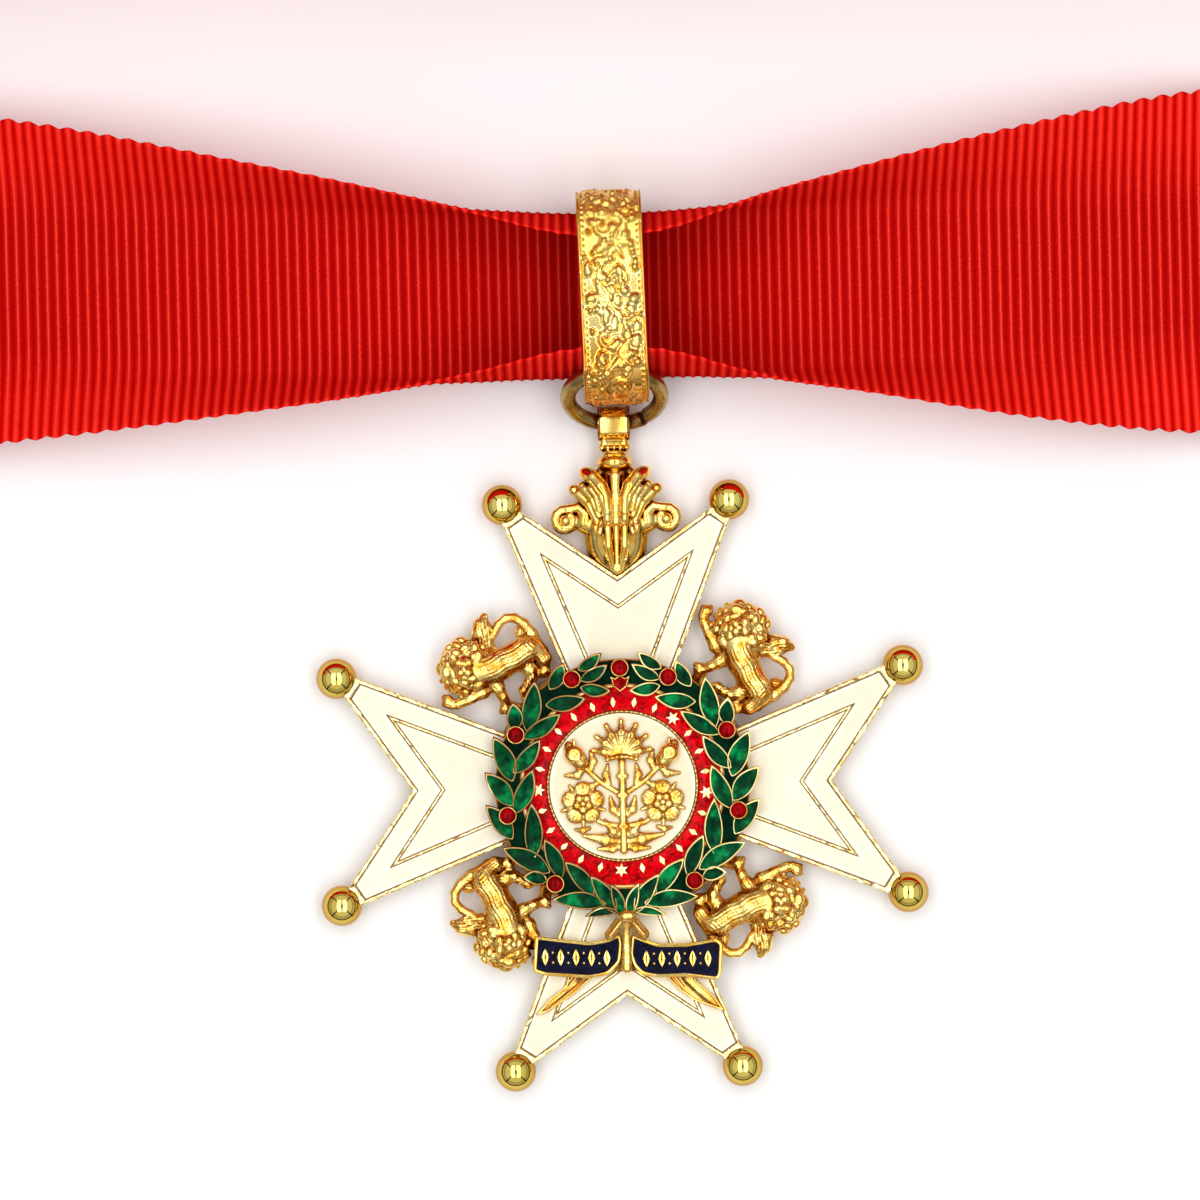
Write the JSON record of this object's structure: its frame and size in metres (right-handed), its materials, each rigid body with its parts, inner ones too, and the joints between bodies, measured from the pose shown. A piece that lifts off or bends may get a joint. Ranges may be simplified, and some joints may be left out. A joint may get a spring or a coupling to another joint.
{
  "type": "order neck badge",
  "caption": "Gilt and enamel eight pointed cross badge with lions, wreath and scroll, hung by an oval ring on a closed grosgrain neck ribbon, laid flat.",
  "frame": {"origin": "middle of the back plate's underside, on the surface that the badge lies on", "axes": "+X to the badge's right along the front of the ribbon, +Y up the badge towards the ribbon ring, +Z out of its face"},
  "size_m": [0.2786, 0.1394, 0.0399],
  "materials": {
    "gilt": "polished gilding, deeper orange in the recesses",
    "gilt_plain": "plain brushed gilding",
    "jump_ring": "duller olive gold wire",
    "cream_enamel": "glossy opaque enamel",
    "red_enamel": "glossy enamel",
    "green_enamel": "glossy translucent enamel",
    "berry_enamel": "glossy domed enamel",
    "navy_enamel": "glossy opaque enamel",
    "ribbon": "ribbed grosgrain"
  },
  "bodies": {
    "root": {"back_plate": "gilt_plain", "cross": "gilt", "enamel_top": "cream_enamel", "enamel_right": "cream_enamel", "enamel_bottom": "cream_enamel", "enamel_left": "cream_enamel", "lion_upper_left": "gilt", "lion_upper_right": "gilt", "lion_lower_right": "gilt", "lion_lower_left": "gilt", "medallion": "gilt", "red_ring": "red_enamel", "centre_disc": "cream_enamel", "sprig": "gilt", "wreath": "gilt", "wreath_leaves": "green_enamel", "berries": "berry_enamel", "knot": "gilt", "scroll": "gilt", "scroll_enamel": "navy_enamel", "finial": "gilt", "jump_ring": "jump_ring", "ribbon_ring": "gilt", "ribbon": "ribbon", "clasp": "gilt_plain"}
  },
  "joints": []
}
